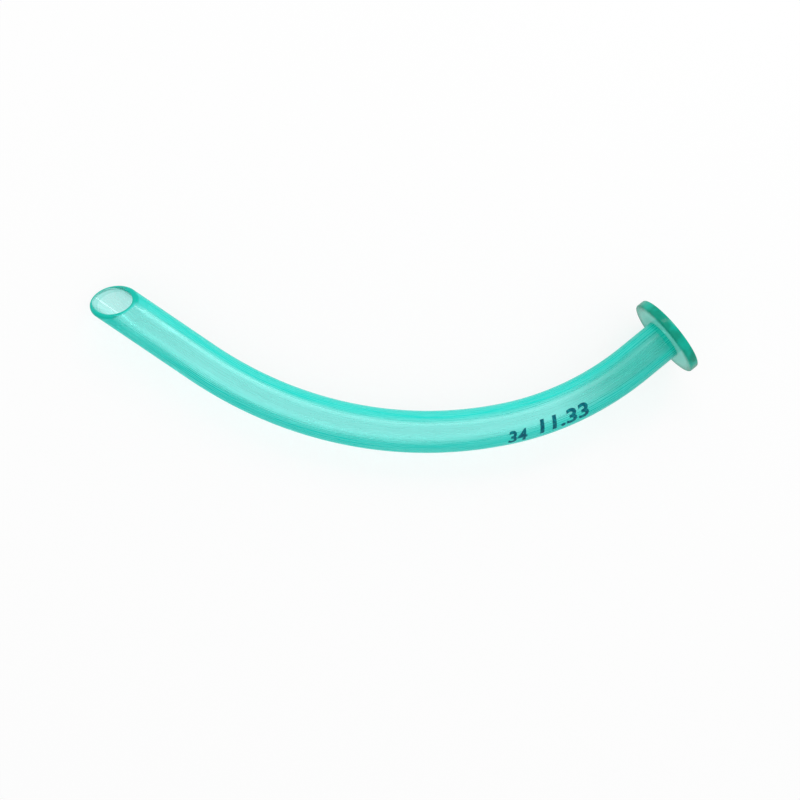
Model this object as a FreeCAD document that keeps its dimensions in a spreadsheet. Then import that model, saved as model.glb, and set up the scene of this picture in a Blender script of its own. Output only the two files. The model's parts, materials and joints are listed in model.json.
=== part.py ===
# Nasopharyngeal airway: a bent, bevelled tube with a round flange bonded on its other end.
# Lengths are in millimetres and angles in degrees.

import FreeCAD, Part
import math
import os
import Sketcher
from FreeCAD import Placement, Rotation, Vector

document = FreeCAD.newDocument("nasopharyngeal_airway")

# Driving sizes

SIZES = {
    # The tube, of 34 French: its section, and its centreline from the middle of the bevel
    "outer_diameter": 11.33,
    "bore": 8.5,
    "tip_lead": 28.4,
    "long_bend_radius": 108.0,
    "long_bend_turn": 45.5,
    "short_bend_radius": 82.0,
    "short_bend_turn": 27.5,
    "flange_lead": 13.0,
    # The tip's cut: its angle to the tube, and how far it leans from sideways to the inside of the bend
    "bevel_angle": 46.0,
    "bevel_lean": 25.0,
    "tip_outer_round": 0.7,
    "tip_inner_round": 0.4,
    "mouth_round": 0.4,
    # The flange
    "flange_diameter": 23.0,
    "flange_thickness": 2.6,
    "flange_edge_bevel": 0.3,
}

sheet = document.addObject("Spreadsheet::Sheet", "Sizes")
for row, (name, value) in enumerate(SIZES.items(), start=1):
    sheet.set(f"A{row}", name)
    sheet.set(f"B{row}", str(value))
    sheet.setAlias(f"B{row}", name)
document.recompute()


def size(name):
    return float(sheet.get(name))


# Sizes that follow from the driving ones

WALL = "(Sizes.outer_diameter - Sizes.bore) / 2"
# The uncut tube runs on past the middle of the bevel, so that the cut takes its square end off
STOCK = "Sizes.outer_diameter / tan(Sizes.bevel_angle)"
stock = size("outer_diameter") / math.tan(math.radians(size("bevel_angle")))


# Helpers for sketches and features


def new_body(label):
    body = document.addObject("PartDesign::Body", label)
    body.Label = label
    return body


def origin_plane(body, role):
    return next(feature for feature in body.Origin.OriginFeatures if feature.Role == role)


def new_sketch(body, name, plane_role):
    sketch = body.newObject("Sketcher::SketchObject", name)
    sketch.AttachmentSupport = (origin_plane(body, plane_role), [""])
    sketch.MapMode = "FlatFace"
    return sketch


def bind(sketch, constraint, name, expression):
    index = sketch.addConstraint(constraint)
    sketch.renameConstraint(index, name)
    sketch.setExpression(f"Constraints.{name}", expression)


def centred_circle(sketch, name, diameter_expression, diameter):
    circle = sketch.addGeometry(Part.Circle(Vector(), Vector(0, 0, 1), diameter / 2))
    sketch.addConstraint(Sketcher.Constraint("Coincident", circle, 3, -1, 1))
    bind(sketch, Sketcher.Constraint("Diameter", circle, diameter), name, diameter_expression)


def edge_names(shape, edges):
    return [f"Edge{number}" for number, edge in enumerate(shape.Edges, start=1)
            if any(edge.isSame(chosen) for chosen in edges)]


def round_edges(body, name, base, edges, radius_expression):
    fillet = body.newObject("PartDesign::Fillet", name)
    fillet.Base = (base, edge_names(base.Shape, edges))
    fillet.setExpression("Radius", radius_expression)
    document.recompute()
    return fillet


def bevel_edges(body, name, base, edges, size_expression):
    chamfer = body.newObject("PartDesign::Chamfer", name)
    chamfer.Base = (base, edge_names(base.Shape, edges))
    chamfer.setExpression("Size", size_expression)
    document.recompute()
    return chamfer


def flat_face(shape, point, normal):
    # The face that lies in the plane through the point, with this normal
    for face in shape.Faces:
        if not isinstance(face.Surface, Part.Plane):
            continue
        off_plane = (face.CenterOfMass - point).dot(normal)
        if abs(off_plane) < 1e-4 and abs(face.normalAt(0, 0).dot(normal)) > 1 - 1e-6:
            return face
    raise RuntimeError("no flat face there")


# The centreline lies in the tube's own XY plane. It runs from the tip along +X and bends towards +Y.


def heading(turn):
    return Vector(math.cos(math.radians(turn)), math.sin(math.radians(turn)), 0)


def left_of(turn):
    return heading(turn + 90)


first_centre = Vector(size("tip_lead"), size("long_bend_radius"), 0)
first_turn = size("long_bend_turn")
full_turn = first_turn + size("short_bend_turn")
between_bends = first_centre - left_of(first_turn) * size("long_bend_radius")
second_centre = between_bends + left_of(first_turn) * size("short_bend_radius")
after_bends = second_centre - left_of(full_turn) * size("short_bend_radius")
mouth = after_bends + heading(full_turn) * size("flange_lead")


def draw_centreline(sketch):
    def arc(centre, radius, start_turn, end_turn):
        circle = Part.Circle(centre, Vector(0, 0, 1), radius)
        return Part.ArcOfCircle(circle, math.radians(start_turn - 90), math.radians(end_turn - 90))

    tip_line = sketch.addGeometry(Part.LineSegment(Vector(-stock, 0, 0), Vector(size("tip_lead"), 0, 0)))
    long_bend = sketch.addGeometry(arc(first_centre, size("long_bend_radius"), 0, first_turn))
    short_bend = sketch.addGeometry(arc(second_centre, size("short_bend_radius"), first_turn, full_turn))
    flange_line = sketch.addGeometry(Part.LineSegment(after_bends, mouth))
    start, end = 1, 2
    sketch.addConstraint(Sketcher.Constraint("PointOnObject", tip_line, start, -1))
    sketch.addConstraint(Sketcher.Constraint("Horizontal", tip_line))
    sketch.addConstraint(Sketcher.Constraint("Tangent", tip_line, end, long_bend, start))
    sketch.addConstraint(Sketcher.Constraint("Tangent", long_bend, end, short_bend, start))
    sketch.addConstraint(Sketcher.Constraint("Tangent", short_bend, end, flange_line, start))
    bind(sketch, Sketcher.Constraint("DistanceX", tip_line, start, -1, 1, stock), "stock", STOCK)
    bind(sketch, Sketcher.Constraint("DistanceX", -1, 1, tip_line, end, size("tip_lead")),
         "tip_lead", "Sizes.tip_lead")
    bind(sketch, Sketcher.Constraint("Radius", long_bend, size("long_bend_radius")),
         "long_bend_radius", "Sizes.long_bend_radius")
    bind(sketch, Sketcher.Constraint("Angle", long_bend, math.radians(first_turn)),
         "long_bend_turn", "Sizes.long_bend_turn")
    bind(sketch, Sketcher.Constraint("Radius", short_bend, size("short_bend_radius")),
         "short_bend_radius", "Sizes.short_bend_radius")
    bind(sketch, Sketcher.Constraint("Angle", short_bend, math.radians(size("short_bend_turn"))),
         "short_bend_turn", "Sizes.short_bend_turn")
    bind(sketch, Sketcher.Constraint("Distance", flange_line, size("flange_lead")),
         "flange_lead", "Sizes.flange_lead")


# The tube: a ring swept along the centreline, cut off at a slant, and rounded where it meets the nose


def sweep_tube(body):
    centreline = new_sketch(body, "Centreline", "XY_Plane")
    draw_centreline(centreline)
    section = new_sketch(body, "TubeSection", "YZ_Plane")
    section.setExpression("AttachmentOffset.Base.z", "-" + STOCK)
    centred_circle(section, "outer_diameter", "Sizes.outer_diameter", size("outer_diameter"))
    centred_circle(section, "bore", "Sizes.bore", size("bore"))
    document.recompute()
    sweep = body.newObject("PartDesign::AdditivePipe", "ExtrudedTube")
    sweep.Profile = section
    sweep.Spine = (centreline, [])
    sweep.Mode = "Standard"
    document.recompute()
    return sweep


def cut_bevel(body, base):
    # The sketch looks at the slant edge-on. It stands on the XZ plane, turned about X by the bevel's lean.
    slant = new_sketch(body, "Slant", "XZ_Plane")
    slant.AttachmentOffset = Placement(Vector(), Rotation(Vector(1, 0, 0), -size("bevel_lean")))
    slant.setExpression("AttachmentOffset.Rotation.Angle", "-Sizes.bevel_lean")
    reach = 1.5 * stock
    height = 1.5 * size("outer_diameter")
    low, high, back = Vector(-reach, -height, 0), Vector(reach, height, 0), Vector(-reach, height, 0)
    for start, end in ((low, high), (high, back), (back, low)):
        slant.addGeometry(Part.LineSegment(start, end))
    slope, top, side = 0, 1, 2
    for first, second in ((slope, top), (top, side), (side, slope)):
        slant.addConstraint(Sketcher.Constraint("Coincident", first, 2, second, 1))
    slant.addConstraint(Sketcher.Constraint("Horizontal", top))
    slant.addConstraint(Sketcher.Constraint("Vertical", side))
    slant.addConstraint(Sketcher.Constraint("Symmetric", slope, 1, slope, 2, -1, 1))
    bind(slant, Sketcher.Constraint("DistanceX", slope, 1, slope, 2, 2 * reach), "reach", "3 * " + STOCK)
    bind(slant, Sketcher.Constraint("DistanceY", slope, 1, slope, 2, 2 * height),
         "height", "3 * Sizes.outer_diameter")
    cut = body.newObject("PartDesign::Pocket", "Bevel")
    cut.Profile = slant
    cut.Midplane = True
    cut.setExpression("Length", "2 * Sizes.outer_diameter")
    document.recompute()
    if cut.Shape.Volume > base.Shape.Volume - 1:
        raise RuntimeError("the bevel cut nothing")
    return cut


def hole_edges(face):
    return [edge for edge in face.Edges if not any(edge.isSame(rim) for rim in face.OuterWire.Edges)]


def bevel_normal():
    lean, angle = math.radians(size("bevel_lean")), math.radians(size("bevel_angle"))
    facing = Vector(0, math.sin(lean), math.cos(lean))
    return facing * math.cos(angle) - Vector(1, 0, 0) * math.sin(angle)


def make_tube():
    body = new_body("airway_tube")
    swept = sweep_tube(body)
    cut = cut_bevel(body, swept)
    # All three rounds stay within the wall
    slant = flat_face(cut.Shape, Vector(), bevel_normal())
    inner = round_edges(body, "LumenEdge", cut, hole_edges(slant),
                        f"min(Sizes.tip_inner_round; 0.3 * {WALL})")
    slant = flat_face(inner.Shape, Vector(), bevel_normal())
    outer = round_edges(body, "TipEdge", inner, slant.OuterWire.Edges,
                        f"min(Sizes.tip_outer_round; 0.5 * {WALL})")
    end = flat_face(outer.Shape, mouth, heading(full_turn))
    body.Tip = round_edges(body, "MouthEdge", outer, hole_edges(end),
                           f"min(Sizes.mouth_round; 0.3 * {WALL})")
    return body


# The flange: a moulded disc with a hole for the tube. In its own frame its outer face is at Z = 0.


def make_flange():
    body = new_body("flange")
    outline = new_sketch(body, "Disc", "XY_Plane")
    centred_circle(outline, "flange_diameter", "Sizes.flange_diameter", size("flange_diameter"))
    centred_circle(outline, "tube_seat", "Sizes.outer_diameter", size("outer_diameter"))
    disc = body.newObject("PartDesign::Pad", "FlangeDisc")
    disc.Profile = outline
    disc.Reversed = True
    disc.setExpression("Length", "Sizes.flange_thickness")
    document.recompute()
    rim = size("flange_diameter") / 2
    rim_edges = [edge for edge in disc.Shape.Edges
                 if isinstance(edge.Curve, Part.Circle) and abs(edge.Curve.Radius - rim) < 1e-6]
    body.Tip = bevel_edges(body, "RimEdges", disc, rim_edges,
                           "min(Sizes.flange_edge_bevel; 0.4 * Sizes.flange_thickness)")
    return body


# How the airway lies: on the flange's rim, and on the tube's underside where the tube runs level


def flange_seat():
    # Turns the flange's own axis to the end of the centreline, and puts its outer face at the mouth
    across = left_of(full_turn) * -1
    up = Vector(0, 0, 1)
    return Placement(mouth, Rotation(across, up, heading(full_turn), "ZXY"))


def centreline_point(turn):
    # The point of the bends where the centreline has turned this far
    if turn <= first_turn:
        return first_centre - left_of(turn) * size("long_bend_radius")
    return second_centre - left_of(turn) * size("short_bend_radius")


def lowest_rim_point(tilt):
    down = Vector(0, 0, -1)
    axis = tilt.multVec(heading(full_turn))
    half_thickness = size("flange_thickness") / 2
    edge_bevel = min(size("flange_edge_bevel"), 0.4 * size("flange_thickness"))
    across = down - axis * axis.dot(down)
    across.normalize()
    centre = tilt.multVec(mouth) - axis * half_thickness
    towards_edge = axis * math.copysign(half_thickness - edge_bevel, axis.dot(down))
    return centre + across * (size("flange_diameter") / 2) + towards_edge


def tilt_on(touch_turn):
    # The tube tilts about its own direction where it lies on its underside, until the rim is as low
    touch = centreline_point(touch_turn)
    reach = (mouth - touch).dot(left_of(touch_turn))
    angle = 0.0
    for _ in range(12):
        tilt = Rotation(heading(touch_turn), angle)
        tube_bottom = tilt.multVec(touch).z - size("outer_diameter") / 2
        angle += math.degrees((tube_bottom - lowest_rim_point(tilt).z) / reach)
    return Rotation(heading(touch_turn), angle)


def rest_turn(gravity):
    # The centre of gravity comes to lie above the line between the two points that touch
    low, high = 0.0, full_turn
    for _ in range(40):
        touch_turn = (low + high) / 2
        tilt = tilt_on(touch_turn)
        touch = tilt.multVec(centreline_point(touch_turn))
        side = (tilt.multVec(gravity) - touch).cross(lowest_rim_point(tilt) - touch).z
        if side > 0:
            low = touch_turn
        else:
            high = touch_turn
    return touch_turn


def lay_down(tube, flange):
    seat = flange_seat()
    flange_gravity = seat.multVec(flange.Shape.CenterOfGravity)
    moments = tube.Shape.CenterOfGravity * tube.Shape.Volume + flange_gravity * flange.Shape.Volume
    gravity = moments / (tube.Shape.Volume + flange.Shape.Volume)
    touch_turn = rest_turn(gravity)
    tilt = tilt_on(touch_turn)
    tilt_angle = math.degrees(tilt.Angle)
    print(f"rests where the centreline has turned {touch_turn:.3f}, tilted by {tilt_angle:.4f} degrees")
    # The straight lead at the tip comes along +X, and the box's bottom centre to the origin
    lead = tilt.multVec(heading(0))
    level = Rotation(Vector(0, 0, 1), -math.degrees(math.atan2(lead.y, lead.x)))
    lying = Placement(Vector(), level * tilt)
    tube.Placement = lying
    flange.Placement = lying * seat
    document.recompute()
    box = Part.makeCompound([tube.Shape, flange.Shape]).optimalBoundingBox(False, False)
    bottom_centre = Vector((box.XMin + box.XMax) / 2, (box.YMin + box.YMax) / 2, box.ZMin)
    to_origin = Placement(-bottom_centre, Rotation())
    for body in (tube, flange):
        body.Placement = to_origin * body.Placement
    document.recompute()


tube = make_tube()
flange = make_flange()
lay_down(tube, flange)

# Checks, and the files

for item in document.Objects:
    if "Invalid" in item.State or "Error" in item.State:
        raise RuntimeError(f"{item.Label} failed: {item.State}")

os.makedirs("parts", exist_ok=True)
for body in (tube, flange):
    if body.Shape.isNull() or not body.Shape.isValid():
        raise RuntimeError(f"{body.Label} has no valid shape")
    box = body.Shape.optimalBoundingBox(False, False)
    print(f"{body.Label}: {body.Shape.Volume:.1f} mm3, lowest point at {box.ZMin:.3f} mm")
    print(f"    {box.XLength:.2f} by {box.YLength:.2f} by {box.ZLength:.2f} mm")
    body.Shape.exportStep(f"parts/{body.Label}.step")
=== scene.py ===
# %% [markdown]
# # Nasopharyngeal airway
#
# A soft breathing tube that a nurse slides into a patient's nose. It is one length of extruded vinyl, set in a
# gentle bend and cut off at a slant, with a moulded flange bonded on the other end. This lesson gives the plain
# solids their looks: clear tinted plastic that darkens where light has a long way through it.

# %% Load the solids
import json
import math
import bpy
from mathutils import Matrix, Vector

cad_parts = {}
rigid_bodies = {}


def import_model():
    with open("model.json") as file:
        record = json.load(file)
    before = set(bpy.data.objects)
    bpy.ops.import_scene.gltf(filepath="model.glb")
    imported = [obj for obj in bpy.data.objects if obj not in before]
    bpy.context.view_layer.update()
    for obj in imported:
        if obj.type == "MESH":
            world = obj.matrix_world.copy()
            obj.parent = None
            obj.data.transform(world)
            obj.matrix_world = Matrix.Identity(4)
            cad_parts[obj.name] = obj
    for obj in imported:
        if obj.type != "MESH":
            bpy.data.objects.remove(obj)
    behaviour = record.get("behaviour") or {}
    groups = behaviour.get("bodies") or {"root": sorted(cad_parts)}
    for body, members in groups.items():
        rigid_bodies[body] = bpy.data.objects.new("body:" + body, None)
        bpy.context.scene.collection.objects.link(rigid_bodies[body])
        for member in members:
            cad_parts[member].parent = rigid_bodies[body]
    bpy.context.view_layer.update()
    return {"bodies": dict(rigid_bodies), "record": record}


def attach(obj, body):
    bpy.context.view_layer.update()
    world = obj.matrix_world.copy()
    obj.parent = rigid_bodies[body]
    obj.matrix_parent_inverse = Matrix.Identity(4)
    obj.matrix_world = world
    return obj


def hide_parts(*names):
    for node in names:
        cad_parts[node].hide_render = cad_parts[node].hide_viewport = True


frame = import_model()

# %% [markdown]
# ## Sizes
#
# The driving sizes are the ones that the solids were made with, in millimetres and degrees, but for the flange's
# edge, a small bevel on the solid, which is rounded here. Blender works in metres, so one constant turns the one
# into the other.

# %% Sizes of the real object
MM = 0.001
OUTER_RADIUS = 11.33 / 2 * MM
BORE_RADIUS = 8.5 / 2 * MM
WALL = OUTER_RADIUS - BORE_RADIUS
TIP_LEAD = 28.4 * MM
LONG_BEND = 108.0 * MM
LONG_TURN = math.radians(45.5)
SHORT_BEND = 82.0 * MM
SHORT_TURN = math.radians(27.5)
FLANGE_LEAD = 13.0 * MM
BEVEL_ANGLE = math.radians(46.0)
BEVEL_LEAN = math.radians(25.0)
TIP_OUTER_ROUND = 0.7 * MM
TIP_INNER_ROUND = 0.4 * MM
MOUTH_ROUND = 0.4 * MM
FLANGE_RADIUS = 23.0 / 2 * MM
FLANGE_THICKNESS = 2.6 * MM
FLANGE_ROUND = 0.45 * MM
# The two pieces are bonded. A hair's breadth between their surfaces keeps them from flickering.
BOND_GAP = 0.01 * MM
FULL_TURN = LONG_TURN + SHORT_TURN
TUBE_LENGTH = TIP_LEAD + LONG_BEND * LONG_TURN + SHORT_BEND * SHORT_TURN + FLANGE_LEAD
print(f"the centreline is {TUBE_LENGTH / MM:.1f} mm long")

# %% [markdown]
# ## The tube's own frame
#
# It is easier to model the tube where its centreline starts along X and bends towards Y, and to lay it down at the
# end. The two bore mounts of the record say how it lies: each gives a point on the lumen's axis and the direction
# out of the tube there.

# %% From the tube's own frame to the part's
mounts = {mount["name"]: mount for mount in frame["record"]["mounts"]}
along = -Vector(mounts["lumen_tip"]["axis"]).normalized()
upward = along.cross(Vector(mounts["lumen_mouth"]["axis"])).normalized()
inward = upward.cross(along)
tip_wall_length = mounts["lumen_tip"]["dims"]["length_mm"] * MM
tip_wall_middle = TIP_LEAD - tip_wall_length / 2
bevel_centre = Vector(mounts["lumen_tip"]["pos_m"]) - along * tip_wall_middle
lie = Matrix.Translation(bevel_centre) @ Matrix((along, inward, upward)).transposed().to_4x4()


def heading(turn):
    return Vector((math.cos(turn), math.sin(turn), 0))


def left_of(turn):
    return Vector((-math.sin(turn), math.cos(turn), 0))


long_centre = Vector((TIP_LEAD, LONG_BEND, 0))
between_bends = long_centre - left_of(LONG_TURN) * LONG_BEND
short_centre = between_bends + left_of(LONG_TURN) * SHORT_BEND
after_bends = short_centre - left_of(FULL_TURN) * SHORT_BEND
mouth = after_bends + heading(FULL_TURN) * FLANGE_LEAD
mouth_bore_middle = mouth - heading(FULL_TURN) * (FLANGE_LEAD + MOUTH_ROUND) / 2
mouth_error = (lie @ mouth_bore_middle - Vector(mounts["lumen_mouth"]["pos_m"])).length
print(f"the mouth's bore lies {mouth_error / MM:.4f} mm from where the record has it")

# %% [markdown]
# ## The camera
#
# The picture was taken from half a metre above the bend, looking nearly straight down, with a long lens. The
# camera's place and turn are worked out in the tube's own frame, about a point in the middle of the bend.

# %% Camera
FOCAL_PIXELS = 1890.0
IMAGE_PIXELS = 800
AIM = Vector((75.0, 25.0, 0.0)) * MM
AIM_SHIFT = Vector((0.21, -4.57, 505.7)) * MM
PITCH, YAW, ROLL = math.radians(3.03), math.radians(8.31), math.radians(-34.54)
to_camera = Matrix.Rotation(PITCH, 3, "X") @ Matrix.Rotation(YAW, 3, "Y") @ Matrix.Rotation(ROLL, 3, "Z")
from_camera = to_camera.transposed()
camera_place = AIM + from_camera @ AIM_SHIFT

camera_data = bpy.data.cameras.new("camera")
camera_data.sensor_width = 36.0
camera_data.lens = FOCAL_PIXELS / IMAGE_PIXELS * camera_data.sensor_width
camera = bpy.data.objects.new("camera", camera_data)
bpy.context.scene.collection.objects.link(camera)
camera.matrix_world = lie @ Matrix.Translation(camera_place) @ from_camera.to_4x4()
bpy.context.scene.camera = camera
print(f"camera {camera.matrix_world.translation.length:.3f} m away, lens {camera_data.lens:.1f} mm")

# %% [markdown]
# ## Helpers
#
# Each piece starts as a primitive and is shaped in edit mode. These few helpers hold the steps that come back:
# starting clean, picking edges by where they lie, and laying a finished piece down in the part's frame.


# %% Helpers for modelling
def start_clean():
    if bpy.context.mode != "OBJECT":
        bpy.ops.object.mode_set(mode="OBJECT")
    bpy.ops.object.select_all(action="DESELECT")


def pick_edges(piece, wanted):
    bpy.ops.mesh.select_all(action="DESELECT")
    bpy.ops.object.mode_set(mode="OBJECT")
    corners = piece.data.vertices
    count = 0
    for edge in piece.data.edges:
        first, second = (corners[index].co for index in edge.vertices)
        edge.select = wanted(first, second)
        count += edge.select
    bpy.ops.object.mode_set(mode="EDIT")
    return count


def piece_selection(piece):
    piece.update_from_editmode()
    return [vertex for vertex in piece.data.vertices if vertex.select]


def pick_points(piece, wanted):
    bpy.ops.mesh.select_all(action="DESELECT")
    bpy.ops.object.mode_set(mode="OBJECT")
    for index in wanted:
        piece.data.vertices[index].select = True
    bpy.ops.object.mode_set(mode="EDIT")


def volume(piece):
    piece.data.calc_loop_triangles()
    points = [vertex.co for vertex in piece.data.vertices]
    return sum(points[a].dot(points[b].cross(points[c])) for a, b, c in
               (triangle.vertices for triangle in piece.data.loop_triangles)) / 6


def face_outward(piece):
    bpy.ops.object.mode_set(mode="EDIT")
    bpy.ops.mesh.select_all(action="SELECT")
    bpy.ops.mesh.remove_doubles(threshold=1e-7)
    bpy.ops.mesh.normals_make_consistent(inside=False)
    bpy.ops.object.mode_set(mode="OBJECT")
    if volume(piece) < 0:
        bpy.ops.object.mode_set(mode="EDIT")
        bpy.ops.mesh.flip_normals()
        bpy.ops.object.mode_set(mode="OBJECT")


def lay_down(piece):
    piece.data.transform(lie)
    piece.data.update()
    return piece


def triangles(piece):
    return sum(len(face.vertices) - 2 for face in piece.data.polygons)


# %% [markdown]
# ## The tube's body
#
# Real tube comes out of a ring-shaped die, so it starts here as two rings, the outside and the bore. They are
# extruded along the straight lead, spun about the centres of the two bends, and extruded again into the flange.
# Spinning about a bend's centre gives an exact bend, where a curve with a bevel would squash it a little.

# %% The tube, swept from two rings
RING_SIDES = 96
SPIN_STEP = 1.3 * MM
stock = 2 * OUTER_RADIUS / math.tan(BEVEL_ANGLE)
first_ring = 1.6 * OUTER_RADIUS

start_clean()
bpy.ops.mesh.primitive_circle_add(vertices=RING_SIDES, radius=OUTER_RADIUS, location=(-stock, 0, 0),
                                  rotation=(0, math.pi / 2, 0))
tube = bpy.context.active_object
tube.name = "airway_tube_soft"
bpy.ops.object.transform_apply(location=True, rotation=True, scale=True)
bpy.ops.object.mode_set(mode="EDIT")
bpy.ops.mesh.primitive_circle_add(vertices=RING_SIDES, radius=BORE_RADIUS, location=(-stock, 0, 0),
                                  rotation=(0, math.pi / 2, 0))
bpy.ops.mesh.select_all(action="SELECT")


def push_on(direction, length, steps=1):
    for _ in range(steps):
        bpy.ops.mesh.extrude_region_move(TRANSFORM_OT_translate={"value": direction * (length / steps)})


def bend_on(centre, radius, turn):
    steps = round(radius * turn / SPIN_STEP)
    bpy.ops.mesh.spin(steps=steps, angle=-turn, center=centre, axis=(0, 0, 1))


push_on(heading(0), stock + first_ring)
push_on(heading(0), TIP_LEAD - first_ring, steps=12)
bend_on(long_centre, LONG_BEND, LONG_TURN)
bend_on(short_centre, SHORT_BEND, SHORT_TURN)
push_on(heading(FULL_TURN), FLANGE_LEAD, steps=6)
bpy.ops.object.mode_set(mode="OBJECT")
far_end = [vertex.co for vertex in tube.data.vertices if vertex.select]
end_error = (sum(far_end, Vector()) / len(far_end) - mouth).length
print(f"swept {len(tube.data.polygons)} faces, the far end is {end_error / MM:.4f} mm from the mouth")

# %% [markdown]
# ## The bevelled tip
#
# The nose's end is cut off at a slant with one stroke, so a bisect does the same here. Bridging the two cut rings
# closes the wall with a flat oval band, and the same at the mouth.

# %% The slanted cut and the two ends
bevel_facing = Vector((0, math.sin(BEVEL_LEAN), math.cos(BEVEL_LEAN)))
bevel_normal = bevel_facing * math.cos(BEVEL_ANGLE) - Vector((1, 0, 0)) * math.sin(BEVEL_ANGLE)

bpy.ops.object.mode_set(mode="EDIT")
bpy.ops.mesh.select_all(action="SELECT")
bpy.ops.mesh.bisect(plane_co=(0, 0, 0), plane_no=bevel_normal, clear_outer=True)


def on_slant(point):
    return abs(point.dot(bevel_normal)) < 1e-6


def on_mouth(point):
    return abs((point - mouth).dot(heading(FULL_TURN))) < 1e-6


def close_wall(piece, on_end, axis_point, axis):
    # The bore's ring waits a little further in while the wall is closed, so that the two rings face each other
    def bore_side(point):
        return (point - axis_point).cross(axis).length < (OUTER_RADIUS + BORE_RADIUS) / 2

    pick_edges(piece, lambda first, second: on_end(first) and on_end(second) and bore_side(first))
    bpy.ops.transform.translate(value=axis * WALL)
    bore_ring = [vertex.index for vertex in piece_selection(piece)]
    count = pick_edges(piece, lambda first, second: all(
        on_end(point) or (bore_side(point) and on_end(point - axis * WALL)) for point in (first, second)))
    bpy.ops.mesh.bridge_edge_loops()
    pick_points(piece, bore_ring)
    bpy.ops.transform.translate(value=-axis * WALL)
    return count


cut_edges = close_wall(tube, on_slant, Vector(), heading(0))
mouth_edges = close_wall(tube, on_mouth, mouth, -heading(FULL_TURN))
bpy.ops.object.mode_set(mode="OBJECT")
face_outward(tube)
print(f"{cut_edges} edges on the slant, {mouth_edges} at the mouth, wall {volume(tube) * 1e9:.0f} cubic mm")

# %% [markdown]
# ## Rounded edges
#
# The cut edges are rounded off, so that they don't scratch. A round of even radius needs a bevel that starts further
# back where the edge is sharp, at the toe, and nearer where it is blunt, at the heel. Bevel weights say how far back,
# edge by edge, and one Bevel modifier rounds them all. The weights are chosen so that the middle of each round lies
# where a ball of the wanted radius would leave it.

# %% Round the edges by weight
ROUND_STEPS = 8
ROUND_PROFILE = 0.405
ROUND_FULLNESS = 1 - math.sqrt(ROUND_PROFILE)


def centre_distance(point):
    return straighten(point).yz.length


def straighten(point):
    # How far along the centreline a point lies, and its offset from it: to the left, and up
    if point.x < TIP_LEAD:
        return Vector((point.x, point.y, point.z))
    long_arm = point - long_centre
    turn = math.atan2(long_arm.x, -long_arm.y)
    if turn <= LONG_TURN:
        return Vector((TIP_LEAD + LONG_BEND * turn, LONG_BEND - long_arm.xy.length, point.z))
    short_arm = point - short_centre
    turn = math.atan2(short_arm.x, -short_arm.y)
    if turn <= FULL_TURN:
        length = TIP_LEAD + LONG_BEND * LONG_TURN + SHORT_BEND * (turn - LONG_TURN)
        return Vector((length, SHORT_BEND - short_arm.xy.length, point.z))
    rest = point - after_bends
    length = TUBE_LENGTH - FLANGE_LEAD + rest.dot(heading(FULL_TURN))
    return Vector((length, rest.dot(left_of(FULL_TURN)), point.z))


def face_angle(mesh, faces):
    first, second = (mesh.polygons[index].normal for index in faces)
    return math.pi - first.angle(second)


edge_faces = {edge.key: [] for edge in tube.data.edges}
for face in tube.data.polygons:
    for key in face.edge_keys:
        edge_faces[key].append(face.index)

setbacks = {}
for edge in tube.data.edges:
    first, second = (tube.data.vertices[index].co for index in edge.vertices)
    outside = centre_distance((first + second) / 2) > (OUTER_RADIUS + BORE_RADIUS) / 2
    if on_slant(first) and on_slant(second) and abs(centre_distance(first) - centre_distance(second)) < 0.2 * WALL:
        radius = TIP_OUTER_ROUND if outside else TIP_INNER_ROUND
    elif on_mouth(first) and on_mouth(second) and not outside:
        radius = MOUTH_ROUND
    else:
        continue
    angle = face_angle(tube.data, edge_faces[edge.key])
    if angle < math.radians(170):
        ball_depth = radius * (1 / math.sin(angle / 2) - 1)
        setbacks[edge.index] = ball_depth / (2 * ROUND_FULLNESS * math.cos(angle / 2))

largest_setback = max(setbacks.values())
weights = tube.data.attributes.new("bevel_weight_edge", "FLOAT", "EDGE")
for index, setback in setbacks.items():
    weights.data[index].value = setback / largest_setback

rounding = tube.modifiers.new("rounded_edges", "BEVEL")
rounding.limit_method = "WEIGHT"
rounding.width = largest_setback
rounding.segments = ROUND_STEPS
rounding.profile = ROUND_PROFILE
rounding.use_clamp_overlap = False
rounding.loop_slide = True
start_clean()
bpy.context.view_layer.objects.active = tube
tube.select_set(True)
bpy.ops.object.modifier_apply(modifier=rounding.name)
bpy.ops.object.shade_smooth_by_angle(angle=math.radians(35))
print(f"rounded {len(setbacks)} edges, furthest setback {largest_setback / MM:.2f} mm,"
      f" {triangles(tube)} triangles, {volume(tube) * 1e9:.0f} cubic mm")

# %% [markdown]
# ## A map of the tube laid straight
#
# The fine lines that the die leaves run along the tube and round its bends. A pattern that follows them reads where
# each point would be if the tube were straight. That is kept on the mesh as an attribute of its own.


# %% The straightened coordinates
def map_straight(piece):
    straight = piece.data.attributes.new("straight", "FLOAT_VECTOR", "POINT")
    for vertex in piece.data.vertices:
        straight.data[vertex.index].vector = straighten(vertex.co)


map_straight(tube)
lay_down(tube)
print("straightened coordinates for", len(tube.data.vertices), "points")

# %% [markdown]
# ## The flange
#
# The flange is moulded: a thick disc with a round hole that the tube is bonded into. A ring is drawn out to the
# rim, down the rim and back to the hole, and the last ring is bridged to the first.

# %% The flange, from a ring
FLANGE_SIDES = 144
seat_radius = OUTER_RADIUS + BOND_GAP

start_clean()
bpy.ops.mesh.primitive_circle_add(vertices=FLANGE_SIDES, radius=seat_radius)
flange = bpy.context.active_object
flange.name = "flange_soft"
bpy.ops.object.mode_set(mode="EDIT")
bpy.ops.mesh.select_all(action="SELECT")


def draw_out(radius_from, radius_to, steps):
    for step in range(steps):
        start = radius_from + (radius_to - radius_from) * step / steps
        end = radius_from + (radius_to - radius_from) * (step + 1) / steps
        bpy.ops.mesh.extrude_region_move(TRANSFORM_OT_translate={"value": (0, 0, 0)})
        bpy.ops.transform.resize(value=(end / start, end / start, 1))


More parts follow.
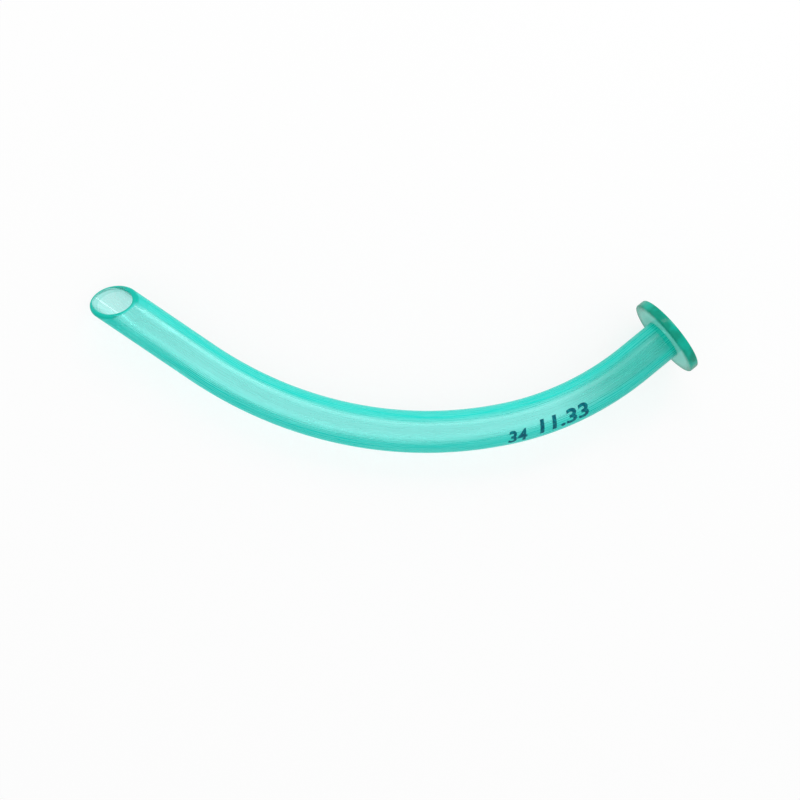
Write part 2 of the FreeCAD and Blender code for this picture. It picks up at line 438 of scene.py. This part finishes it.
draw_out(seat_radius, FLANGE_RADIUS, 3)
bpy.ops.mesh.extrude_region_move(TRANSFORM_OT_translate={"value": (0, 0, -FLANGE_THICKNESS)})
draw_out(FLANGE_RADIUS, seat_radius, 3)


def on_seat(first, second):
    level = abs(first.z - second.z) < 1e-7
    return level and all(abs(point.xy.length - seat_radius) < 1e-6 for point in (first, second))


def on_rim(first, second):
    level = abs(first.z - second.z) < 1e-7
    return level and all(abs(point.xy.length - FLANGE_RADIUS) < 1e-6 for point in (first, second))


pick_edges(flange, on_seat)
bpy.ops.mesh.bridge_edge_loops()
rim_edges = pick_edges(flange, on_rim)
bpy.ops.mesh.bevel(offset=FLANGE_ROUND, segments=6, affect="EDGES", clamp_overlap=False)
bpy.ops.object.mode_set(mode="OBJECT")
face_outward(flange)
bpy.ops.object.shade_smooth_by_angle(angle=math.radians(35))
flange_seat = Matrix((left_of(FULL_TURN), Vector((0, 0, 1)), heading(FULL_TURN))).transposed().to_4x4()
flange.data.transform(Matrix.Translation(mouth) @ flange_seat)
map_straight(flange)
lay_down(flange)
print(f"flange: {rim_edges} rim edges rounded, {triangles(flange)} triangles, {volume(flange) * 1e9:.0f} cubic mm")

# %% [markdown]
# ## The print
#
# Such tubes have their size printed along the outside, in one pass of a soft stamp. Here it is plain numbers: the
# size in French, and the outside diameter in millimetres. Text becomes a mesh, is brought to the size of the print,
# cut into narrow strips so that it can bend, and then wrapped round the tube.


# %% Numbers wrapped round the tube
INK_LIFT = 0.02 * MM
INK_THICKNESS = 0.02 * MM
STRIP = 0.4 * MM
BOLDER, SLANT = 0.03, 0.1


def on_tube(length, angle, radius):
    # The angle goes from the top of the tube towards the inside of the bend
    long_end = TIP_LEAD + LONG_BEND * LONG_TURN
    if length < long_end:
        turn = max(0.0, (length - TIP_LEAD) / LONG_BEND)
        centre = long_centre - left_of(turn) * LONG_BEND
    else:
        turn = LONG_TURN + (length - long_end) / SHORT_BEND
        centre = short_centre - left_of(turn) * SHORT_BEND
    return centre + (left_of(turn) * math.sin(angle) + Vector((0, 0, math.cos(angle)))) * radius


def print_number(name, text, start, width, low_angle, high_angle):
    start_clean()
    bpy.ops.object.text_add()
    words = bpy.context.active_object
    words.data.body = text
    words.data.offset, words.data.shear = BOLDER, SLANT
    bpy.ops.object.convert(target="MESH")
    digits = bpy.context.active_object
    digits.name = name
    height = OUTER_RADIUS * (high_angle - low_angle)
    corners = [vertex.co for vertex in digits.data.vertices]
    low = Vector(min(point[axis] for point in corners) for axis in range(3))
    high = Vector(max(point[axis] for point in corners) for axis in range(3))
    to_size = Matrix.Diagonal((width / (high.x - low.x), height / (high.y - low.y), 1, 1))
    digits.data.transform(to_size @ Matrix.Translation(-low))
    bpy.ops.object.mode_set(mode="EDIT")
    bpy.ops.mesh.select_all(action="SELECT")
    bpy.ops.mesh.remove_doubles(threshold=1e-6)
    for axis, reach in ((0, width), (1, height)):
        for step in range(1, int(reach / STRIP) + 1):
            facing = Vector((axis == 0, axis == 1, 0))
            bpy.ops.mesh.select_all(action="SELECT")
            bpy.ops.mesh.bisect(plane_co=facing * step * STRIP, plane_no=facing)
    bpy.ops.object.mode_set(mode="OBJECT")
    for vertex in digits.data.vertices:
        angle = low_angle + vertex.co.y / OUTER_RADIUS
        vertex.co = on_tube(start + vertex.co.x, angle, OUTER_RADIUS + INK_LIFT)
    film = digits.modifiers.new("film", "SOLIDIFY")
    film.thickness = INK_THICKNESS
    film.offset = 1.0
    bpy.ops.object.modifier_apply(modifier=film.name)
    bpy.ops.object.shade_smooth_by_angle(angle=math.radians(35))
    print(f"{name}: {triangles(digits)} triangles")
    return lay_down(digits)


french_size = print_number("french_size", "34", TUBE_LENGTH - 53.3 * MM, 5.1 * MM,
                           math.radians(-60), math.radians(-17))
outer_diameter = print_number("outer_diameter", "11.33", TUBE_LENGTH - 44.8 * MM, 14.0 * MM,
                              math.radians(-52), math.radians(-5))

# %% [markdown]
# ## Clear tinted vinyl
#
# The plastic is tinted right through. Light loses its red on the way, a little in one wall, more in two, and most
# where it runs along the wall, as in the ring round the bevel. A glass shader with a Volume Absorption does that; the
# deep ring round the bevel and at the bond is painted on as well, as painted shade.
# Soft vinyl is also a little cloudy, so part of the light comes back from inside before it gets through. That part
# is a second, opaque shader of the tint's own colour, mixed in.

# %% A shader for cloudy tinted plastic
IOR_VINYL = 1.53


def new_material(name):
    material = bpy.data.materials.new(name)
    material.use_nodes = True
    nodes = material.node_tree.nodes
    nodes.clear()
    return material, nodes, material.node_tree.links


def vinyl(nodes, color, transmission):
    shader = nodes.new("ShaderNodeBsdfPrincipled")
    shader.inputs["Base Color"].default_value = (*color, 1)
    shader.inputs["IOR"].default_value = IOR_VINYL
    shader.inputs["Transmission Weight"].default_value = transmission
    return shader


def tinted_clear(name, tint, density, cloud_gloss, shade):
    # The cloud's colour and share are set later, by the cells that give each piece its surface
    material, nodes, links = new_material(name)
    output = nodes.new("ShaderNodeOutputMaterial")
    glass = vinyl(nodes, (1, 1, 1), 1.0)
    cloud = vinyl(nodes, (1, 1, 1), 0.0)
    cloud.inputs["Specular IOR Level"].default_value = cloud_gloss
    mixed = nodes.new("ShaderNodeMixShader")
    links.new(glass.outputs["BSDF"], mixed.inputs[1])
    links.new(cloud.outputs["BSDF"], mixed.inputs[2])
    # Lamps shine through as if the plastic were thin, so that the shadow is light and tinted
    lamp_ray = nodes.new("ShaderNodeLightPath")
    see_through = nodes.new("ShaderNodeBsdfTransparent")
    see_through.inputs["Color"].default_value = (*shade, 1)
    pick = nodes.new("ShaderNodeMixShader")
    links.new(lamp_ray.outputs["Is Shadow Ray"], pick.inputs["Fac"])
    links.new(mixed.outputs["Shader"], pick.inputs[1])
    links.new(see_through.outputs["BSDF"], pick.inputs[2])
    links.new(pick.outputs["Shader"], output.inputs["Surface"])
    absorb = nodes.new("ShaderNodeVolumeAbsorption")
    absorb.inputs["Color"].default_value = (*tint, 1)
    absorb.inputs["Density"].default_value = density
    links.new(absorb.outputs["Volume"], output.inputs["Volume"])
    return material, glass, cloud, mixed


tube_plastic, tube_glass, tube_cloud, tube_share = tinted_clear(
    "tube_plastic", tint=(0.02, 0.92, 0.875), density=400.0, cloud_gloss=0.1, shade=(0.99, 0.997, 0.996))
flange_plastic, flange_glass, flange_cloud, flange_share = tinted_clear(
    "flange_plastic", tint=(0.02, 0.92, 0.86), density=500.0, cloud_gloss=0.15, shade=(0.96, 0.985, 0.98))
tube.data.materials.append(tube_plastic)
flange.data.materials.append(flange_plastic)

# %% [markdown]
# ## Helpers for patterns
#
# The patterns below are built of the same few steps: a sum, a soft step between two values, a blend of two colours,
# and how far a point lies from the tube's axis once the tube is laid straight.


# %% Steps that patterns are built of
def number(nodes, links, operation, *values):
    node = nodes.new("ShaderNodeMath")
    node.operation = operation
    for socket, value in zip(node.inputs, values):
        if hasattr(value, "links"):
            links.new(value, socket)
        else:
            socket.default_value = value
    return node.outputs["Value"]


def ramp(nodes, links, value, low, high, to_low, to_high):
    node = nodes.new("ShaderNodeMapRange")
    node.interpolation_type = "SMOOTHSTEP"
    links.new(value, node.inputs["Value"])
    for name, setting in (("From Min", low), ("From Max", high), ("To Min", to_low), ("To Max", to_high)):
        node.inputs[name].default_value = setting
    return node.outputs["Result"]


def blend(nodes, links, factor, first, second):
    node = nodes.new("ShaderNodeMix")
    node.data_type = "RGBA"
    links.new(factor, node.inputs["Factor"])
    for socket, value in ((node.inputs[6], first), (node.inputs[7], second)):
        if hasattr(value, "links"):
            links.new(value, socket)
        else:
            socket.default_value = (*value, 1)
    return node.outputs[2]


def noise(nodes, links, where, scale, detail):
    node = nodes.new("ShaderNodeTexNoise")
    node.inputs["Scale"].default_value = scale
    node.inputs["Detail"].default_value = detail
    links.new(where, node.inputs["Vector"])
    return node.outputs["Fac"]


def vector_step(nodes, links, operation, first, second=None):
    node = nodes.new("ShaderNodeVectorMath")
    node.operation = operation
    links.new(first, node.inputs[0])
    if second is not None:
        node.inputs[1].default_value = second
    return node.outputs["Value" if operation in ("DOT_PRODUCT", "LENGTH") else "Vector"]


def straight_place(nodes, links):
    # The straightened coordinates, and the distance from the axis
    node = nodes.new("ShaderNodeAttribute")
    node.attribute_name = "straight"
    across = vector_step(nodes, links, "MULTIPLY", node.outputs["Vector"], (0, 1, 1))
    return node.outputs["Vector"], vector_step(nodes, links, "LENGTH", across)


# %% [markdown]
# ## Lines from the die
#
# The die leaves the tube satin, with fine lines that run along it. The tip is smoother, outside and in the bore,
# because it is melted round after the cut. The pattern reads the straightened coordinates, with the length squeezed
# so far that the noise draws out to lines.

# %% Fine lines, a satin outside and a smooth tip
LINES_PER_METRE = 3000.0
LENGTH_SQUEEZE = 0.02
LINE_DEPTH = 0.03 * MM
POLISHED = 0.08
# The walls of the bore and of the outside: what lies between belongs a little to both
BORE_SIDE, OUTER_SIDE = 4.6 * MM, 5.5 * MM

nodes, links = tube_plastic.node_tree.nodes, tube_plastic.node_tree.links
place, from_axis = straight_place(nodes, links)
from_cut = vector_step(nodes, links, "DOT_PRODUCT", place, -bevel_normal)
squeeze = nodes.new("ShaderNodeMapping")
squeeze.inputs["Scale"].default_value = (LENGTH_SQUEEZE, 1, 1)
links.new(place, squeeze.inputs["Vector"])
lines = noise(nodes, links, squeeze.outputs["Vector"], LINES_PER_METRE, 2.0)


def both(first, second):
    return number(nodes, links, "MULTIPLY", first, second)


def either(first, second):
    return number(nodes, links, "MAXIMUM", first, second)


away = ramp(nodes, links, from_cut, 1.2 * MM, 3.0 * MM, 0.0, 1.0)
outside = ramp(nodes, links, from_axis, BORE_SIDE, OUTER_SIDE, 0.0, 1.0)
deep_inside = ramp(nodes, links, from_cut, 7 * MM, 12 * MM, 0.0, 1.0)
satin = either(both(away, outside), deep_inside)
roughness = nodes.new("ShaderNodeMix")
links.new(satin, roughness.inputs["Factor"])
roughness.inputs[2].default_value = POLISHED
links.new(ramp(nodes, links, lines, 0.3, 0.7, 0.24, 0.34), roughness.inputs[3])
bump = nodes.new("ShaderNodeBump")
bump.inputs["Distance"].default_value = LINE_DEPTH
links.new(both(satin, 0.3), bump.inputs["Strength"])
links.new(lines, bump.inputs["Height"])
for shader in (tube_glass, tube_cloud):
    links.new(roughness.outputs[0], shader.inputs["Roughness"])
    links.new(bump.outputs["Normal"], shader.inputs["Normal"])
print("tube lines:", len(nodes), "nodes")

# %% [markdown]
# ## Painted shade where light has come a long way through the wall
#
# Where light led along the wall comes out, at the cut and at the bond, a deep colour is painted on: painted shade, in
# place of the light's long way through the plastic. At the cut that is on the two sides, on the toe's outer edge and
# on the heel's inner edge. The painted shade deepens slowly towards the flange too, and a little towards the tip.

# %% The painted shade at the ring and the bond, and the cloud
parts = nodes.new("ShaderNodeSeparateXYZ")
links.new(place, parts.inputs["Vector"])
length_along, sideways, height_up = parts.outputs["X"], parts.outputs["Y"], parts.outputs["Z"]
at_cut = ramp(nodes, links, from_cut, 0.2 * MM, 0.7 * MM, 1.0, 0.0)
near_cut = ramp(nodes, links, from_cut, 0.9 * MM, 1.4 * MM, 1.0, 0.0)
at_side = both(ramp(nodes, links, number(nodes, links, "ABSOLUTE", sideways), 2.2 * MM, 3.8 * MM, 0.0, 1.0),
               ramp(nodes, links, height_up, -1.5 * MM, 0.5 * MM, 0.0, 1.0))
# The sharp toe is melted back further than the sides, so its outer edge lies nearer to the axis
MELTED_BACK = 0.11
towards_edge = number(nodes, links, "SUBTRACT", from_axis, both(length_along, MELTED_BACK))
outer_edge = both(near_cut, ramp(nodes, links, towards_edge, 4.75 * MM, 5.0 * MM, 0.3, 1.0))
inner_edge = both(at_cut, ramp(nodes, links, from_axis, 5.15 * MM, 5.4 * MM, 1.0, 0.0))
toe_edge = both(outer_edge, ramp(nodes, links, length_along, 0.0, 2 * MM, 1.0, 0.0))
heel_edge = both(inner_edge, ramp(nodes, links, length_along, 0.0, 2 * MM, 0.0, 1.0))
cut_ring_shade = either(both(at_cut, at_side), either(toe_edge, heel_edge))

bond_start = TUBE_LENGTH - FLANGE_THICKNESS - 1.8 * MM
at_bond = ramp(nodes, links, length_along, bond_start, bond_start + 0.8 * MM, 0.0, 0.8)
towards_bond = ramp(nodes, links, length_along, bond_start - 40 * MM, bond_start - 8 * MM, 0.0, 0.4)
towards_tip = ramp(nodes, links, length_along, 5 * MM, 35 * MM, 0.1, 0.0)
painted_deep_shade = either(cut_ring_shade, either(at_bond, either(towards_bond, towards_tip)))
lined = blend(nodes, links, ramp(nodes, links, lines, 0.35, 0.65, 0.0, 1.0), (0.01, 0.64, 0.55), (0.04, 0.74, 0.65))
# Painted shade: the deep colour (0.0, 0.48, 0.38) is laid on by this mask, in place of light that has come a long way
# through the wall
links.new(blend(nodes, links, painted_deep_shade, lined, (0.0, 0.48, 0.38)), tube_cloud.inputs["Base Color"])

# Seen aslant there is more plastic in the way, so the cloud hides more of what is behind. The bore and the
# underside hide little, so that light still comes up through the lumen
aslant = nodes.new("ShaderNodeLayerWeight")
aslant.inputs["Blend"].default_value = 0.5
hidden = ramp(nodes, links, aslant.outputs["Facing"], 0.0, 0.3, 0.20, 0.86)
hidden = both(hidden, ramp(nodes, links, lines, 0.35, 0.65, 1.1, 0.88))
hidden = both(hidden, ramp(nodes, links, height_up, -4.5 * MM, -1.5 * MM, 0.3, 1.0))
hidden = both(hidden, ramp(nodes, links, from_axis, BORE_SIDE, OUTER_SIDE, 0.15, 1.0))
links.new(either(hidden, painted_deep_shade), tube_share.inputs["Fac"])
print("tube shader:", len(nodes), "nodes")

# %% [markdown]
# ## The ink
#
# Stamped ink lies unevenly: thin in places, with the tube's colour showing through.

# %% Uneven blue-green ink
ink, nodes, links = new_material("print_ink")
ink_output = nodes.new("ShaderNodeOutputMaterial")
ink_film = vinyl(nodes, (0.0, 0.13, 0.17), 0.0)
ink_film.inputs["Roughness"].default_value = 0.5
ink_film.inputs["Specular IOR Level"].default_value = 0.1
links.new(ink_film.outputs["BSDF"], ink_output.inputs["Surface"])
patches = noise(nodes, links, nodes.new("ShaderNodeTexCoord").outputs["Object"], 1500.0, 3.0)
links.new(blend(nodes, links, ramp(nodes, links, patches, 0.40, 0.70, 0.0, 1.0),
                (0.0, 0.09, 0.14), (0.0, 0.25, 0.27)), ink_film.inputs["Base Color"])
for digits in (french_size, outer_diameter):
    digits.data.materials.clear()
    digits.data.materials.append(ink)

# %% [markdown]
# ## The flange's surface
#
# A moulded part takes on the polish of its mould, with a faint unevenness where the thick plastic sank as it cooled.

# %% A slightly uneven gloss, and painted shade towards the rim
nodes, links = flange_plastic.node_tree.nodes, flange_plastic.node_tree.links
sink = noise(nodes, links, nodes.new("ShaderNodeTexCoord").outputs["Object"], 260.0, 2.0)
sink_bump = nodes.new("ShaderNodeBump")
sink_bump.inputs["Distance"].default_value = 0.2 * MM
sink_bump.inputs["Strength"].default_value = 0.25
links.new(sink, sink_bump.inputs["Height"])
for shader in (flange_glass, flange_cloud):
    shader.inputs["Roughness"].default_value = 0.16
    links.new(sink_bump.outputs["Normal"], shader.inputs["Normal"])

# The rim's deep colour is painted shade, in place of light that has come a long way through the disc, and it hides
# what is behind it. The faces are painted paler, and the painted shade deepens towards the rim
from_axis = straight_place(nodes, links)[1]
painted_deep_shade = ramp(nodes, links, from_axis, 8.6 * MM, 11.2 * MM, 0.0, 1.0)
# Painted shade on the rim: two dark tones, varied at random by the sink noise
painted_rim_shade = blend(nodes, links, ramp(nodes, links, sink, 0.40, 0.65, 0.0, 1.0), (0.0, 0.27, 0.18), (0.0, 0.40, 0.29))
links.new(blend(nodes, links, painted_deep_shade, (0.24, 0.76, 0.66), painted_rim_shade), flange_cloud.inputs["Base Color"])
links.new(ramp(nodes, links, painted_deep_shade, 0.0, 1.0, 0.85, 1.0), flange_share.inputs["Fac"])
print("flange shader:", len(nodes), "nodes")

# %% [markdown]
# ## Floor, lamps and background
#
# The airway lies on a white sheet in a plain studio. A long, narrow soft box hangs on the side that the bend opens
# to, so that its reflection lies in the tube's upper third. A small one, lower down, draws the thin white line in the
# lumen. Seen by the camera and through the plastic, the surroundings are plain white.

# %% Floor and light
start_clean()
bpy.ops.mesh.primitive_plane_add(size=4.0, location=(0, 0, 0))
floor = bpy.context.active_object
floor.name = "floor"


def white_where_seen(nodes, links, lit, rays, share=1.0):
    # What the rays meet: plain white, or a share of it, for those named, and the lit material for the rest
    glow = nodes.new("ShaderNodeEmission")
    glow.inputs["Color"].default_value = (1, 1, 1, 1)
    glow.inputs["Strength"].default_value = 1.0
    kind = nodes.new("ShaderNodeLightPath")
    seen = kind.outputs[rays[0]]
    for ray in rays[1:]:
        seen = number(nodes, links, "MAXIMUM", seen, kind.outputs[ray])
    choose = nodes.new("ShaderNodeMixShader")
    links.new(number(nodes, links, "MULTIPLY", seen, share), choose.inputs["Fac"])
    links.new(lit, choose.inputs[1])
    links.new(glow.outputs["Emission"], choose.inputs[2])
    return choose.outputs["Shader"]


floor_white, nodes, links = new_material("floor_white")
paper = nodes.new("ShaderNodeBsdfDiffuse")
paper.inputs["Color"].default_value = (0.85, 0.85, 0.85, 1)
floor_output = nodes.new("ShaderNodeOutputMaterial")
# The camera sees the floor as plain white, but for this share of it, which keeps the shadow
SHADOW_SEEN = 0.2
seen_floor = white_where_seen(nodes, links, paper.outputs["BSDF"], ["Is Camera Ray"], 1 - SHADOW_SEEN)
links.new(white_where_seen(nodes, links, seen_floor, ["Is Transmission Ray"]), floor_output.inputs["Surface"])
floor.data.materials.append(floor_white)

ROOM_LIGHT = 0.86
world = bpy.data.worlds.new("studio")
bpy.context.scene.world = world
world.use_nodes = True
nodes, links = world.node_tree.nodes, world.node_tree.links
room = nodes["Background"]
room.inputs["Color"].default_value = (1, 1, 1, 1)
room.inputs["Strength"].default_value = ROOM_LIGHT
links.new(white_where_seen(nodes, links, room.outputs["Background"], ["Is Camera Ray", "Is Transmission Ray"]),
          nodes["World Output"].inputs["Surface"])

from_view = lie.to_3x3() @ from_camera


def soft_lamp(name, direction, distance, size, power):
    # The direction is as seen in the picture: to the right, up, and towards the camera
    lamp_data = bpy.data.lights.new(name, "AREA")
    lamp_data.shape = "RECTANGLE"
    lamp_data.size, lamp_data.size_y = size
    lamp_data.energy = power
    lamp = bpy.data.objects.new(name, lamp_data)
    bpy.context.scene.collection.objects.link(lamp)
    lamp.location = from_view @ (Vector(direction).normalized() * distance)
    lamp.rotation_euler = lamp.location.to_track_quat("Z", "Y").to_euler()
    return lamp


soft_lamp("soft_box", (0.2, 0.66, 0.72), 0.9, (0.9, 0.14), 1.9)
soft_lamp("strip", (0.54, 0.69, 0.48), 0.8, (0.15, 0.15), 0.9)
bpy.context.scene.view_settings.view_transform = "Standard"

# %% [markdown]
# ## What each piece stands for
#
# The dressed tube and flange stand for the two plain solids, which are hidden. Nothing moves, so both ride on the
# one body.

# %% Ride on the one body, with the plain solids hidden
body = next(iter(frame["bodies"]))
for piece, node, slot in ((tube, "airway_tube", "tube_plastic"), (flange, "flange", "flange_plastic")):
    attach(piece, body)
    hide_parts(node)
for digits in (french_size, outer_diameter):
    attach(digits, body)
